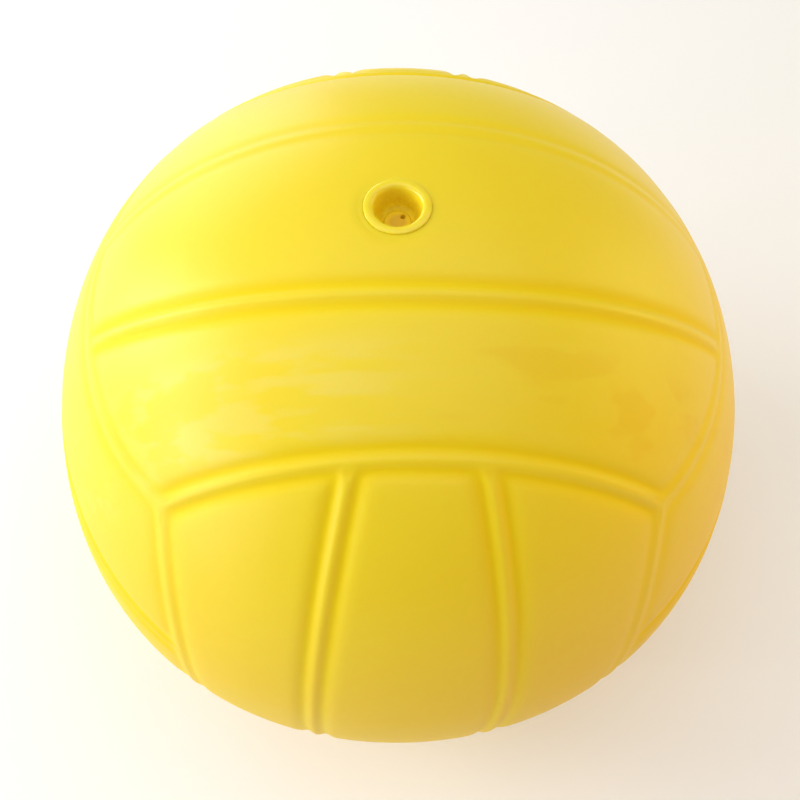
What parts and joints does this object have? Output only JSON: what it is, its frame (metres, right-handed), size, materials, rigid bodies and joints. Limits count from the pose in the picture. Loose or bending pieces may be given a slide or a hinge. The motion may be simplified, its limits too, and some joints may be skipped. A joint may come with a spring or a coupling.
{
  "type": "inflatable mini volleyball",
  "caption": "Small hollow soft-vinyl volleyball with moulded double-groove panel seams and a recessed needle valve in a rounded collar.",
  "frame": {"origin": "centre of the ball", "axes": "+Z along the valve's axis, out through its mouth; the group of upright strips below the valve faces -Y; +X to the right of it"},
  "size_m": [0.0886, 0.0886, 0.0886],
  "materials": {
    "yellow_vinyl": "satin soft vinyl, moulded, slightly uneven gloss",
    "valve_vinyl": "soft vinyl, glossy on the rounded lip, finely grained in the recess",
    "tan_rubber": "matt self-sealing rubber"
  },
  "bodies": {
    "root": {"ball_shell": "yellow_vinyl", "valve_housing": "valve_vinyl", "valve_plug": "tan_rubber"}
  },
  "joints": []
}
